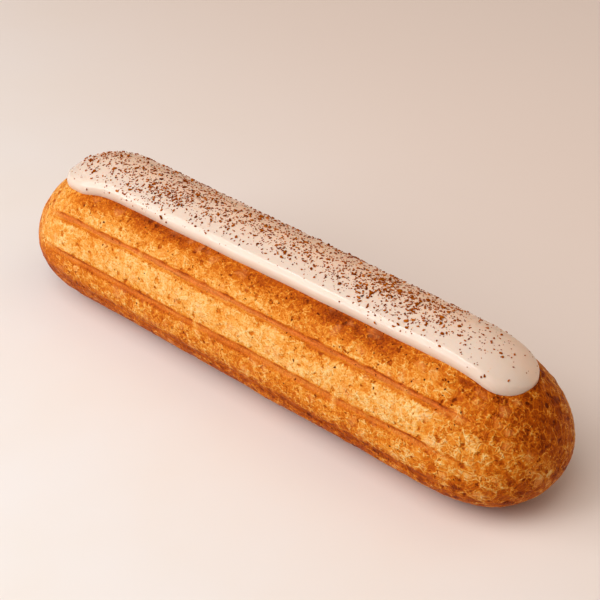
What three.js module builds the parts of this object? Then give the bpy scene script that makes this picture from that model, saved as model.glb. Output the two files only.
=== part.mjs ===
// An eclair: a long choux shell, piped through a star nozzle and baked, with a strip of icing on top.
// Millimetres. +Z is up, +X runs along the eclair, and the shell rests on the plane Z = 0.

import * as THREE from 'three';
import { mergeVertices } from 'three/addons/utils/BufferGeometryUtils.js';

// Shell: an oval in section, with rounded ends and a flat spot where it lay on the baking tray.
const SHELL_LENGTH = 150;
const SHELL_WIDTH = 35.7;
const SHELL_HEIGHT = 33.4;
const WIDEST_LEVEL = 12.8;
const BASE_FLATTENING = 1;

// Rounding of the shell's ends: how far it reaches from each tip, and its superellipse power.
const SIDE_END = { reach: 25, power: 2.45 };
const CROWN_END = { reach: 25, power: 2.06 };
const BELLY_END = { reach: 20.5, power: 2.1 };

// Grooves left by the nozzle's teeth: one along the crown, and the same row of them down either side.
// Angles are in degrees from the crown, growing towards -Y.
const GROOVES_PER_SIDE = 6;
const FIRST_GROOVE_ANGLE = 25;
const GROOVE_SPACING = 27.5;
const GROOVE_DEPTH = 0.7;
const GROOVE_SPREAD = 3.2;
const LOBE_FALL = 0.3;
const GROOVE_START = { from: -68, full: -56 };
const GROOVE_STOP = { full: 48, gone: 66 };

// Icing: a strip that follows the crown, a little to one side, wider and thicker towards its -X end.
const ICING_START = -66.6;
const ICING_STOP = 66.4;
const ICING_OFFSET = 0.8;
const ICING_HALF_WIDTH = 8.2;
const ICING_WIDTH_TAPER = 0.125;
const ICING_END = { reach: 7, power: 2.25 };
const ICING_EDGE = 2.1;
const ICING_EDGE_TAPER = 0.13;
const ICING_SHOULDER = 1.5;
const ICING_CROWNING = 0.3;
const CLEARANCE = 0.35;

// Fineness of the two faceted solids.
const SHELL_ROWS = 48;
const STEPS_PER_LOBE = 5;
const STEP_CROWDING = 0.5;
const ICING_ROWS = 44;
const ICING_COLUMNS = 28;

const FULL_TURN = 360;
const CROWN_RISE = SHELL_HEIGHT - WIDEST_LEVEL;
const BELLY_DROP = WIDEST_LEVEL + BASE_FLATTENING;

const { clamp, degToRad, lerp, smoothstep } = THREE.MathUtils;

// Angles of all grooves once round the section, from the crown back to the crown.
function grooveAngles() {
  const down = Array.from({ length: GROOVES_PER_SIDE }, (_, k) => FIRST_GROOVE_ANGLE + GROOVE_SPACING * k);
  const up = down.map((angle) => FULL_TURN - angle).reverse();
  return [0, ...down, ...up, FULL_TURN];
}

// Share of the full size left at a distance from the middle, for a form that ends at halfLength.
function endRounding(distance, halfLength, end) {
  const into = clamp((distance - (halfLength - end.reach)) / end.reach, 0, 1);
  return (1 - into ** end.power) ** (1 / end.power);
}

// Half width, rise and drop of the shell's smooth oval section at x.
function shellSection(x) {
  const distance = Math.abs(x);
  const halfLength = SHELL_LENGTH / 2;
  return {
    halfWidth: (SHELL_WIDTH / 2) * endRounding(distance, halfLength, SIDE_END),
    rise: CROWN_RISE * endRounding(distance, halfLength, CROWN_END),
    drop: BELLY_DROP * endRounding(distance, halfLength, BELLY_END),
  };
}

// How far the surface lies inside the smooth oval, a share 0 to 1 of the way across a lobe of a given
// span in degrees: each lobe falls off towards the narrow groove on either side of it.
function grooveInset(x, span, share) {
  const fromGroove = Math.min(share, 1 - share) * span;
  const groove = GROOVE_DEPTH * Math.exp(-((fromGroove / GROOVE_SPREAD) ** 2));
  const fall = LOBE_FALL * Math.cos(Math.PI * share) ** 2;
  const start = smoothstep(x, GROOVE_START.from, GROOVE_START.full);
  const stop = 1 - smoothstep(x, GROOVE_STOP.full, GROOVE_STOP.gone);
  return (groove + fall) * start * stop;
}

// A point of the shell at x, at an angle from the crown, lying inside the smooth oval by inset.
function shellPoint(x, angle, inset) {
  const { halfWidth, rise, drop } = shellSection(x);
  const across = -Math.sin(degToRad(angle));
  const upward = Math.cos(degToRad(angle));
  const y = (halfWidth - inset) * across;
  const z = WIDEST_LEVEL + ((upward > 0 ? rise : drop) - inset) * upward;
  return new THREE.Vector3(x, y, Math.max(z, 0));
}

// A point at a given height above the shell's smooth crown, over the place x, y.
function pointAboveCrown(x, y, height) {
  const { halfWidth, rise } = shellSection(x);
  const crown = rise * Math.sqrt(1 - (y / halfWidth) ** 2);
  const outward = new THREE.Vector3(0, y / halfWidth ** 2, crown / rise ** 2).normalize();
  return new THREE.Vector3(x, y, WIDEST_LEVEL + crown).addScaledVector(outward, height);
}

// A point of the icing at x. The turn 0 to 1 goes once round its section, first under and then over it.
// Its top climbs a quarter-round shoulder from either edge and swells a little towards the middle.
function icingPoint(x, turn) {
  const middle = (ICING_START + ICING_STOP) / 2;
  const halfLength = (ICING_STOP - ICING_START) / 2;
  const along = (x - middle) / halfLength;
  const rounding = endRounding(Math.abs(x - middle), halfLength, ICING_END);
  const halfWidth = ICING_HALF_WIDTH * (1 - ICING_WIDTH_TAPER * along) * rounding;
  const across = -Math.cos(2 * Math.PI * turn);
  const y = ICING_OFFSET + halfWidth * across;
  if (turn < 0.5 || rounding === 0) {
    return pointAboveCrown(x, y, CLEARANCE);
  }
  const upShoulder = Math.min((halfWidth * (1 - Math.abs(across))) / (ICING_SHOULDER * rounding), 1);
  const edge = ICING_EDGE * (1 - ICING_EDGE_TAPER * along) * Math.sqrt(rounding);
  const crowning = ICING_CROWNING * rounding * (1 - across ** 2);
  const height = edge * Math.sqrt(1 - (1 - upShoulder) ** 2) + crowning;
  return pointAboveCrown(x, y, CLEARANCE + height);
}

// A closed skin whose rows run from start to stop along X, drawn together at both tips like a sphere.
function closedSkin(start, stop, rows, columns, pointAt) {
  const skin = new THREE.SphereGeometry(1, columns, rows);
  const position = skin.getAttribute('position');
  for (let row = 0; row <= rows; row += 1) {
    const share = (1 + Math.cos((Math.PI * row) / rows)) / 2;
    const x = lerp(start, stop, share);
    for (let column = 0; column <= columns; column += 1) {
      const point = pointAt(x, column % columns);
      position.setXYZ(row * (columns + 1) + column, point.x, point.y, point.z);
    }
  }
  skin.deleteAttribute('normal');
  skin.deleteAttribute('uv');
  const welded = mergeVertices(skin);
  welded.computeVertexNormals();
  return welded;
}

// Columns crowd together at each groove and spread out over each lobe.
function shellGeometry() {
  const halfLength = SHELL_LENGTH / 2;
  const angles = grooveAngles();
  const columns = (angles.length - 1) * STEPS_PER_LOBE;
  return closedSkin(-halfLength, halfLength, SHELL_ROWS, columns, (x, column) => {
    const lobe = Math.floor(column / STEPS_PER_LOBE);
    const even = (column % STEPS_PER_LOBE) / STEPS_PER_LOBE;
    const share = even - (STEP_CROWDING * Math.sin(2 * Math.PI * even)) / (2 * Math.PI);
    const span = angles[lobe + 1] - angles[lobe];
    return shellPoint(x, angles[lobe] + span * share, grooveInset(x, span, share));
  });
}

function icingGeometry() {
  return closedSkin(ICING_START, ICING_STOP, ICING_ROWS, ICING_COLUMNS, (x, column) =>
    icingPoint(x, column / ICING_COLUMNS));
}

function piece(name, geometry, finish) {
  const mesh = new THREE.Mesh(geometry, new THREE.MeshStandardMaterial(finish));
  mesh.name = name;
  return mesh;
}

const eclair = new THREE.Group();
eclair.add(piece('shell', shellGeometry(), { color: 0xd98a3a, roughness: 0.7, metalness: 0 }));
eclair.add(piece('icing', icingGeometry(), { color: 0xf0dccb, roughness: 0.25, metalness: 0 }));

export default eclair;
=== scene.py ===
"""An iced eclair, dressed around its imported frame.

The choux shell, the strip of icing and the ground spice are surfaces worked out with numpy.
Sizes are in millimetres until a mesh is written, which turns them into the scene's metres.
"""

import functools
import itertools
import logging
import math
from dataclasses import dataclass, field
from enum import Enum
from typing import Any

import bpy
import numpy as np
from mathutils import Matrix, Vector


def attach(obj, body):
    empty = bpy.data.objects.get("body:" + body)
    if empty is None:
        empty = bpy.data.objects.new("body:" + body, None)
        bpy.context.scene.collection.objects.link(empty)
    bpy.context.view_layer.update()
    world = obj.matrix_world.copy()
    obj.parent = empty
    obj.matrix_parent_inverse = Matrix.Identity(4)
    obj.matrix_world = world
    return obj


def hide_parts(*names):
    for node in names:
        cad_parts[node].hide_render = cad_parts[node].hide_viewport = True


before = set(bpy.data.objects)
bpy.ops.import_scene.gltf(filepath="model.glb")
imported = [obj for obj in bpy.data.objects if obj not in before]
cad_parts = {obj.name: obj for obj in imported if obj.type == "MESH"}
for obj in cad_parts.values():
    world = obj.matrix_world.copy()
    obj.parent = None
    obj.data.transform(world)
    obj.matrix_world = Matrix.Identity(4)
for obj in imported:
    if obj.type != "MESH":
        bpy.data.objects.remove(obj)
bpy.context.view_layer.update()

MM = 0.001
FULL_TURN = 360.0
GROOVE_REACH = 1.6  # distance from a groove's middle that the field astride covers
CELL_PRIMES = (73856093, 19349663, 83492791)  # tell apart the cells of a lattice
SEED_PRIMES = (7919, 104729)  # tell apart seeds, and the numbers of one cell
MIXERS = (2654435761, 2246822519)  # odd multipliers that scramble a whole number
LOW_BITS = 0xFFFFFF  # the part of a scrambled number that is kept
NOISE_GAIN = 1.6  # brings gradient noise to about -1 to 1
OCTAVE_SHIFT = 31.7  # moves each octave of noise off the one before
CROWN_STEPS = 4001  # places that the crown's outline is walked along in
ANGLE_STEPS = 7201  # angles that the columns' density is summed over
Array = np.ndarray
Colour = tuple[float, float, float]
Socket = bpy.types.NodeSocket
log = logging.getLogger("eclair")


class CadNode(Enum):
    """The solids of the frame that this script dresses."""

    SHELL = "shell"
    ICING = "icing"


class Slot(Enum):
    """Names of the material slots."""

    CHOUX = "baked_choux"
    ICING = "icing"


def srgb(red: int, green: int, blue: int) -> Colour:
    """A screen colour, 0 to 255 per channel, as linear light: ((c + 0.055) / 1.055) to the power 2.4."""
    return tuple(((c / 255 + 0.055) / 1.055) ** 2.4 if c > 10 else c / 3294 for c in (red, green, blue))


def ease(value: Array, start: float, stop: float) -> Array:
    """Smooth step: 0 before start, 1 after stop, 3t^2 - 2t^3 between. Start may be above stop."""
    share = np.clip((value - start) / (stop - start), 0.0, 1.0)
    return share * share * (3 - 2 * share)


def bell(value: Array, centre: float, reach: float) -> Array:
    """A bell of height 1 around centre: e to the minus ((value - centre) / reach) squared."""
    return np.exp(-(((value - centre) / reach) ** 2))


def on_plane(x: Array, y: Array | float) -> Array:
    """Points over x and y at height 0, shape (..., 3)."""
    return np.stack(np.broadcast_arrays(x, y, 0.0), axis=-1)


def from_crown(angle: Array) -> Array:
    """Degrees from the crown by the shorter way round, 0 to 180."""
    return np.minimum(angle, FULL_TURN - angle)


@dataclass(frozen=True)
class SolidNoise:
    """Random fields that fill space and are the same on every run.

    Attributes:
        seed: Picks one set of fields.
    """

    seed: int

    def hashed(self, cells: Array, salt: int) -> Array:
        """A random number 0 to 1 for each whole-number cell, mixed by multiplying and shifting.

        Args:
            cells: Whole numbers, shape (..., 3).
            salt: Tells apart several numbers of one cell.

        Returns:
            Random numbers, shape (...).
        """
        x, y, z = (cells[..., k] * prime for k, prime in enumerate(CELL_PRIMES))
        mixed = (x ^ y ^ z ^ (self.seed * SEED_PRIMES[0] + salt * SEED_PRIMES[1])) * MIXERS[0]
        mixed = (mixed ^ (mixed >> 15)) * MIXERS[1]
        return ((mixed ^ (mixed >> 13)) & LOW_BITS) / LOW_BITS

    def smooth(self, points: Array, size: float) -> Array:
        """Gradient noise: each lattice corner has a random slope, blended by 6t^5 - 15t^4 + 10t^3.

        Args:
            points: Places, shape (..., 3).
            size: Spacing of the lattice.

        Returns:
            Noise of about -1 to 1, shape (...).
        """
        scaled = points / size
        home = np.floor(scaled).astype(np.int64)
        into = scaled - home
        blend = into**3 * (into * (into * 6 - 15) + 10)
        total = np.zeros(points.shape[:-1])
        for corner in itertools.product((0, 1), repeat=3):
            cell = home + np.array(corner)
            turn = self.hashed(cell, 1) * 2 * np.pi
            rise = self.hashed(cell, 2) * 2 - 1
            flat = np.sqrt(1 - rise**2)
            away = into - np.array(corner)
            lift = (flat * np.cos(turn) * away[..., 0] + flat * np.sin(turn) * away[..., 1]
                    + rise * away[..., 2])
            total += lift * np.prod(np.where(corner, blend, 1 - blend), axis=-1)
        return total * NOISE_GAIN

    def layered(self, points: Array, size: float, octaves: int) -> Array:
        """Sum of smooth noise, about -1 to 1, each octave half the size and height of the one before."""
        layers = [self.smooth(points + OCTAVE_SHIFT * k, size / 2**k) / 2**k for k in range(octaves)]
        return sum(layers) / (2 - 2.0 ** (1 - octaves))

    def ridges(self, points: Array, size: float, sharpness: float) -> Array:
        """Thin curving crests where smooth noise crosses zero: e to the minus sharpness times |noise|."""
        return np.exp(-sharpness * np.abs(self.smooth(points, size)))

    def cells(self, points: Array, size: float) -> tuple[Array, Array, Array]:
        """Cells around scattered seeds, one seed at a random place in each cube of the lattice.

        Args:
            points: Places, shape (..., 3).
            size: Side of the cubes.

        Returns:
            Distance to the nearest seed, distance to the second nearest, and the nearest one's
            random number, each of shape (...).
        """
        scaled = points / size
        home = np.floor(scaled).astype(np.int64)
        first = np.full(points.shape[:-1], np.inf)
        second = first.copy()
        label = np.zeros(points.shape[:-1])
        for offset in itertools.product((-1, 0, 1), repeat=3):
            cube = home + np.array(offset)
            seed = cube + np.stack([self.hashed(cube, salt) for salt in (3, 4, 5)], axis=-1)
            gap = np.linalg.norm(scaled - seed, axis=-1)
            nearer = gap < first
            second = np.where(nearer, first, np.minimum(second, gap))
            label = np.where(nearer, self.hashed(cube, 6), label)
            first = np.minimum(first, gap)
        return first * size, second * size, label


@dataclass(frozen=True)
class EndRounding:
    """The superellipse that closes a long form: (1 - t^power) to the power 1/power, t from 0 to 1.

    Attributes:
        reach: Length of the rounded stretch, from where it starts to the tip.
        power: 2 is a plain ellipse, more is squarer.
    """

    reach: float
    power: float

    def at(self, distance: Array, half_length: float) -> Array:
        """Share of the full size left at a distance from the middle, whose tips are half_length away."""
        into = np.clip((distance - (half_length - self.reach)) / self.reach, 0.0, 1.0)
        return (1 - into**self.power) ** (1 / self.power)


def grid_normals(grid: Array) -> Array:
    """Unit normals of a grid of points that closes on itself along its second direction.

    Args:
        grid: Points, shape (rows, columns, 3).

    Returns:
        The cross product of the central differences around and along, made one long; it points
        outward where the second direction turns from +Z towards -Y as the first goes along +X.
    """
    along = np.gradient(grid, axis=0)
    around = np.roll(grid, -1, axis=1) - np.roll(grid, 1, axis=1)
    normals = np.cross(around, along)
    return normals / np.maximum(np.linalg.norm(normals, axis=-1, keepdims=True), 1e-9)


def evenly_spaced(density: Array, places: Array, count: int) -> Array:
    """Places spread so that each has an equal share of a density along a line.

    Args:
        density: Density at each sampled place.
        places: The sampled places, rising.
        count: Number of places wanted.

    Returns:
        count places from the first sampled one to the last.
    """
    steps = np.diff(places) * (density[1:] + density[:-1]) / 2
    shares = np.concatenate([[0.0], np.cumsum(steps)])
    return np.interp(np.linspace(0.0, shares[-1], count), shares, places)


def new_piece(name: str, vertices: Array, faces: Array | list, fields: dict[str, Array]) -> bpy.types.Object:
    """A smooth-shaded mesh object at the origin.

    Args:
        name: Name of the object.
        vertices: Points in millimetres, shape (n, 3).
        faces: Corner numbers of each face, turning anticlockwise seen from outside.
        fields: Numbers stored on the points for the material to read, by name.

    Returns:
        The new object, linked into the scene.
    """
    mesh = bpy.data.meshes.new(name)
    mesh.from_pydata((vertices * MM).tolist(), [], faces)
    for field_name, values in fields.items():
        attribute = mesh.attributes.new(field_name, "FLOAT", "POINT")
        attribute.data.foreach_set("value", np.ascontiguousarray(values, dtype=np.float32))
    mesh.polygons.foreach_set("use_smooth", np.ones(len(mesh.polygons), dtype=bool))
    mesh.update()
    piece = bpy.data.objects.new(name, mesh)
    bpy.context.scene.collection.objects.link(piece)
    return piece


def closed_skin(name: str, grid: Array, fields: dict[str, Array]) -> bpy.types.Object:
    """Closes a grid into one skin: seam joined, and each end row drawn together in a single point.

    Args:
        name: Name of the object.
        grid: Points, shape (rows, columns, 3). All points of the first row are one tip, and all
            of the last row the other. Columns run clockwise seen from the last tip.
        fields: Numbers on the grid, shape (rows, columns), by name.

    Returns:
        The new object.
    """
    rows, columns = grid.shape[:2]
    rings = rows - 2
    ring = np.arange(rings - 1)[:, None] * columns
    here = np.arange(columns)
    after = (here + 1) % columns
    corners = [ring + here, ring + after, ring + columns + after, ring + columns + here]
    quads = np.stack(corners, axis=-1).reshape(-1, 4)
    first_tip = rings * columns
    last_ring = (rings - 1) * columns
    fans = [np.stack([np.full(columns, first_tip), after, here], axis=-1),
            np.stack([np.full(columns, first_tip + 1), last_ring + here, last_ring + after], axis=-1)]
    faces = quads.tolist() + fans[0].tolist() + fans[1].tolist()

    def unrolled(values: Array) -> Array:
        """The inner rows one after another, and then one value for each tip."""
        inner = values[1:-1].reshape(rings * columns, *values.shape[2:])
        return np.concatenate([inner, values[:1, 0], values[-1:, 0]])

    return new_piece(name, unrolled(grid), faces, {key: unrolled(value) for key, value in fields.items()})


@dataclass(frozen=True)
class ShellForm:
    """The smooth baked form: an oval section with rounded ends, cut flat where it rests.

    Attributes:
        length: Tip to tip, along X.
        width: Across, along Y.
        height: From the base to the smooth crown.
        widest_level: Height of the widest line.
        flattening: How far the round belly would reach below the base.
        side_end: Rounding of the ends, seen from above.
        crown_end: Rounding of the crown towards the ends.
        belly_end: Rounding of the belly towards the ends.
    """

    length: float = 150.0
    width: float = 35.7
    height: float = 33.4
    widest_level: float = 12.8
    flattening: float = 1.0
    side_end: EndRounding = EndRounding(25.0, 2.45)
    crown_end: EndRounding = EndRounding(25.0, 2.06)
    belly_end: EndRounding = EndRounding(20.5, 2.1)

    def section(self, x: Array) -> tuple[Array, Array, Array]:
        """Half width, rise above the widest level and drop below it, at x.

        Args:
            x: Places along the eclair.

        Returns:
            Three arrays of x's shape.
        """
        distance = np.abs(x)
        half_width = self.width / 2 * self.side_end.at(distance, self.length / 2)
        rise = (self.height - self.widest_level) * self.crown_end.at(distance, self.length / 2)
        drop = (self.widest_level + self.flattening) * self.belly_end.at(distance, self.length / 2)
        return half_width, rise, drop

    def surface(self, x: Array, angle: Array) -> Array:
        """The oval: y = -half width times sin(angle), z = widest level + rise or drop times cos(angle).

        Args:
            x: Places along the eclair.
            angle: Degrees from the crown, growing towards -Y.

        Returns:
            Points before the base is cut flat, shape (..., 3).
        """
        half_width, rise, drop = self.section(x)
        upward = np.cos(np.radians(angle))
        y = -half_width * np.sin(np.radians(angle))
        z = self.widest_level + np.where(upward > 0, rise, drop) * upward
        return np.stack(np.broadcast_arrays(x, y, z), axis=-1)

    def above_crown(self, x: Array, y: Array, height: Array) -> Array:
        """Points at a height above the crown, over x and y, along the section's normal.

        Args:
            x: Places along the eclair.
            y: Places across it.
            height: Heights above the smooth form.

        Returns:
            Points, shape (..., 3).
        """
        half_width, rise, _ = self.section(x)
        crown = rise * np.sqrt(np.maximum(1 - (y / half_width) ** 2, 0.0))
        slant = y / half_width**2
        upright = crown / rise**2
        size = np.hypot(slant, upright)
        return np.stack(np.broadcast_arrays(
            x, y + height * slant / size, self.widest_level + crown + height * upright / size), axis=-1)


class NodeSheet:
    """Adds nodes to one node tree and wires them up."""

    def __init__(self, tree: bpy.types.NodeTree) -> None:
        """Empties the tree that it will fill."""
        self.tree = tree
        tree.nodes.clear()

    def add(self, kind: str, inputs: dict[str | int, Any] | None = None, **settings: Any) -> bpy.types.Node:
        """Adds a node.

        Args:
            kind: The node's type, without its ShaderNode prefix where it has one.
            inputs: A value or an output socket for each named or numbered input.
            settings: Properties of the node.

        Returns:
            The node.
        """
        node = self.tree.nodes.new(kind if kind.startswith("Node") else f"ShaderNode{kind}")
        for name, value in settings.items():
            setattr(node, name, value)
        for name, value in (inputs or {}).items():
            self.feed(node.inputs[name], value)
        return node

    def feed(self, socket: Socket, value: Any) -> None:
        """Links an output into a socket, or sets the socket's own value."""
        if isinstance(value, Socket):
            self.tree.links.new(value, socket)
        elif isinstance(value, tuple) and len(value) == 3 and socket.type == "RGBA":
            socket.default_value = (*value, 1.0)
        else:
            socket.default_value = value

    def math(self, operation: str, first: Any, second: Any = 0.0,
             clamp: bool = False) -> Socket:
        """The result of a Math node on two values or sockets, kept within 0 and 1 if clamped."""
        return self.add("Math", {0: first, 1: second}, operation=operation, use_clamp=clamp).outputs[0]

    def total(self, *terms: Any) -> Socket:
        """The sum of several values or sockets."""
        return functools.reduce(lambda result, term: self.math("ADD", result, term), terms)

    def product(self, *factors: Any) -> Socket:
        """The product of several values or sockets."""
        return functools.reduce(lambda result, factor: self.math("MULTIPLY", result, factor), factors)

    def weighted(self, *terms: tuple[Any, Any]) -> Socket:
        """The sum of several values or sockets, each times its weight."""
        return self.total(*(self.product(value, weight) for value, weight in terms))

    def vector(self, operation: str, first: Any, second: Any) -> Socket:
        """The result of a Vector Math node.

        Args:
            operation: Name of the operation, such as ADD.
            first: First vector or socket.
            second: Second vector or socket, or the length for SCALE.

        Returns:
            The output socket: a number for DOT_PRODUCT, otherwise a vector.
        """
        slot = "Scale" if operation == "SCALE" else 1
        node = self.add("VectorMath", {0: first, slot: second}, operation=operation)
        return node.outputs["Value" if operation == "DOT_PRODUCT" else "Vector"]

    def noise(self, place: Any, scale: float, detail: float, **inputs: float) -> Socket:
        """Noise about zero at a place, with scale bumps to the metre and detail layers of finer noise."""
        node = self.add("TexNoise", {"Vector": place, "Scale": scale, "Detail": detail, **inputs})
        return self.math("SUBTRACT", node.outputs["Fac"], 0.5)

    def remap(self, value: Any, source: tuple[Any, Any], target: tuple[float, float] = (0.0, 1.0),
              smooth: bool = False) -> Socket:
        """Carries a value from one range to another, and keeps it inside.

        Args:
            value: Value or socket.
            source: The range it comes in.
            target: The range it goes out in.
            smooth: Whether it eases in and out.

        Returns:
            The output socket.
        """
        inputs = {"Value": value, "From Min": source[0], "From Max": source[1],
                  "To Min": target[0], "To Max": target[1]}
        kind = "SMOOTHSTEP" if smooth else "LINEAR"
        return self.add("MapRange", inputs, interpolation_type=kind).outputs["Result"]

    def ramp(self, value: Any, stops: tuple[tuple[float, Colour], ...]) -> Socket:
        """A colour picked along a row of stops.

        Args:
            value: Place along the row, 0 to 1.
            stops: Place and colour of each stop.

        Returns:
            The colour socket.
        """
        node = self.add("ValToRGB", {"Fac": value})
        elements = node.color_ramp.elements
        while len(elements) < len(stops):
            elements.new(1.0)
        for element, (place, colour) in zip(elements, stops):
            element.position = place
            element.color = (*colour, 1.0)
        return node.outputs["Color"]

    def blend(self, share: Any, first: Any, second: Any) -> Socket:
        """Mixes two colours.

        Args:
            share: 0 gives the first, 1 the second.
            first: First colour or socket.
            second: Second colour or socket.

        Returns:
            The colour socket.
        """
        node = self.add("Mix", data_type="RGBA")
        self.feed(node.inputs["Factor"], share)
        self.feed(node.inputs[6], first)
        self.feed(node.inputs[7], second)
        return node.outputs[2]

    def field(self, name: str) -> Socket:
        """A number stored on the mesh."""
        return self.add("Attribute", attribute_name=name).outputs["Fac"]


def new_group(name: str, inputs: dict[str, float | None],
              outputs: tuple[str, ...]) -> tuple[bpy.types.NodeTree, NodeSheet]:
    """An empty shader node group.

    Args:
        name: Name of the group.
        inputs: Default of each input. None makes it a vector.
        outputs: Names of the outputs, all numbers.

    Returns:
        The group and a sheet to fill it with.
    """
    group = bpy.data.node_groups.new(name, "ShaderNodeTree")
    for label, default in inputs.items():
        kind = "NodeSocketVector" if default is None else "NodeSocketFloat"
        socket = group.interface.new_socket(label, in_out="INPUT", socket_type=kind)
        if default is not None:
            socket.default_value = default
    for label in outputs:
        group.interface.new_socket(label, in_out="OUTPUT", socket_type="NodeSocketFloat")
    return group, NodeSheet(group)


class Effects:
    """Node groups that the finishes share."""

    def __init__(self) -> None:
        """Builds the groups."""
        self.mottle = self.build_mottle()
        self.speckle = self.build_speckle()
        self.crackle = self.build_crackle()

    @staticmethod
    def build_mottle() -> bpy.types.NodeTree:
        """Soft cloudy variation between a low and a high value.

        Returns:
            The group: Vector, Scale, Low and High give Value.
        """
        inputs = {"Vector": None, "Scale": 10.0, "Low": 0.0, "High": 1.0}
        group, sheet = new_group("Mottle", inputs, ("Value",))
        source = sheet.add("NodeGroupInput").outputs
        clouds = sheet.add("TexNoise", {"Vector": source["Vector"], "Scale": source["Scale"],
                                        "Detail": 3.0, "Roughness": 0.55})
        share = sheet.remap(clouds.outputs["Fac"], (0.3, 0.7))
        spread = sheet.math("SUBTRACT", source["High"], source["Low"])
        value = sheet.total(sheet.product(share, spread), source["Low"])
        sheet.add("NodeGroupOutput", {"Value": value})
        return group

    @staticmethod
    def build_speckle() -> bpy.types.NodeTree:
        """Scattered dots of uneven size, a little bent out of round by noise.

        Returns:
            The group: Vector, Scale, Radius and Softness as parts of a cell, and Share of cells
            with a dot give Mask.
        """
        inputs = {"Vector": None, "Scale": 400.0, "Radius": 0.2, "Share": 0.5, "Softness": 0.45}
        group, sheet = new_group("Speckle", inputs, ("Mask",))
        source = sheet.add("NodeGroupInput").outputs
        finer = sheet.product(source["Scale"], 2.2)
        drift = sheet.add("TexNoise", {"Vector": source["Vector"], "Scale": finer, "Detail": 1.0})
        length = sheet.math("DIVIDE", 0.7, source["Scale"])
        bent = sheet.vector("ADD", source["Vector"], sheet.vector("SCALE", drift.outputs["Color"], length))
        cells = sheet.add("TexVoronoi", {"Vector": bent, "Scale": source["Scale"]})
        lot = sheet.add("SeparateColor", {"Color": cells.outputs["Color"]}).outputs
        chosen = sheet.math("LESS_THAN", lot["Red"], source["Share"])
        radius = sheet.product(source["Radius"], sheet.remap(lot["Green"], (0.0, 1.0), (0.5, 1.3)))
        out = sheet.math("DIVIDE", cells.outputs["Distance"], radius)
        inside = sheet.math("SUBTRACT", 1.0, out, clamp=True)
        solid = sheet.remap(inside, (0.0, source["Softness"]), smooth=True)
        sheet.add("NodeGroupOutput", {"Mask": sheet.product(solid, chosen)})
        return group

    @staticmethod
    def build_crackle() -> bpy.types.NodeTree:
        """Thin broken lines round crooked cells.

        The places are bent by noise, and a line runs where the nearest two cells meet.

        Returns:
            The group: Vector, Scale, Bend as a length, and Width as part of a cell give Line,
            Inset, which rises from a cell's border to its middle, and Lot, a random number for
            each cell.
        """
        inputs = {"Vector": None, "Scale": 400.0, "Bend": 0.001, "Width": 0.1}
        group, sheet = new_group("Crackle", inputs, ("Line", "Inset", "Lot"))
        source = sheet.add("NodeGroupInput").outputs
        drift = sheet.add("TexNoise", {"Vector": source["Vector"], "Scale": source["Scale"], "Detail": 2.0})
        centred = sheet.vector("SUBTRACT", drift.outputs["Color"], (0.5, 0.5, 0.5))
        bent = sheet.vector("ADD", source["Vector"], sheet.vector("SCALE", centred, source["Bend"]))
        placed = {"Vector": bent, "Scale": source["Scale"]}
        border = sheet.add("TexVoronoi", placed, feature="DISTANCE_TO_EDGE").outputs["Distance"]
        cells = sheet.add("TexVoronoi", placed)
        near = sheet.math("SUBTRACT", 1.0, sheet.math("DIVIDE", border, source["Width"]), clamp=True)
        faint = sheet.remap(drift.outputs["Fac"], (0.36, 0.58), (0.1, 1.0), smooth=True)
        lot = sheet.add("SeparateColor", {"Color": cells.outputs["Color"]}).outputs["Red"]
        inset = sheet.remap(border, (0.02, 0.3), smooth=True)
        sheet.add("NodeGroupOutput", {"Line": sheet.product(near, faint), "Inset": inset, "Lot": lot})
        return group


class Finish:
    """What every finish needs to make its material.

    Attributes:
        effects: The shared node groups, set once before the first material is made.
    """

    effects: Effects | None = None

    @staticmethod
    def start(name: str) -> tuple[bpy.types.Material, NodeSheet, Socket]:
        """A new material.

        Args:
            name: Name of the material.

        Returns:
            The material, the sheet for its nodes, and the object coordinates.
        """
        material = bpy.data.materials.new(name)
        material.use_nodes = True
        sheet = NodeSheet(material.node_tree)
        return material, sheet, sheet.add("TexCoord").outputs["Object"]

    @staticmethod
    def effect(sheet: NodeSheet, group: bpy.types.NodeTree, inputs: dict[str, Any]) -> Any:
        """Places a shared group on a sheet with its own values, and gives its outputs by name."""
        return sheet.add("Group", inputs, node_tree=group).outputs

    @staticmethod
    def close(sheet: NodeSheet, inputs: dict[str, Any]) -> None:
        """Adds the Principled shader and the material's output."""
        shader = sheet.add("BsdfPrincipled", inputs)
        sheet.add("OutputMaterial", {"Surface": shader.outputs["BSDF"]})


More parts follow.
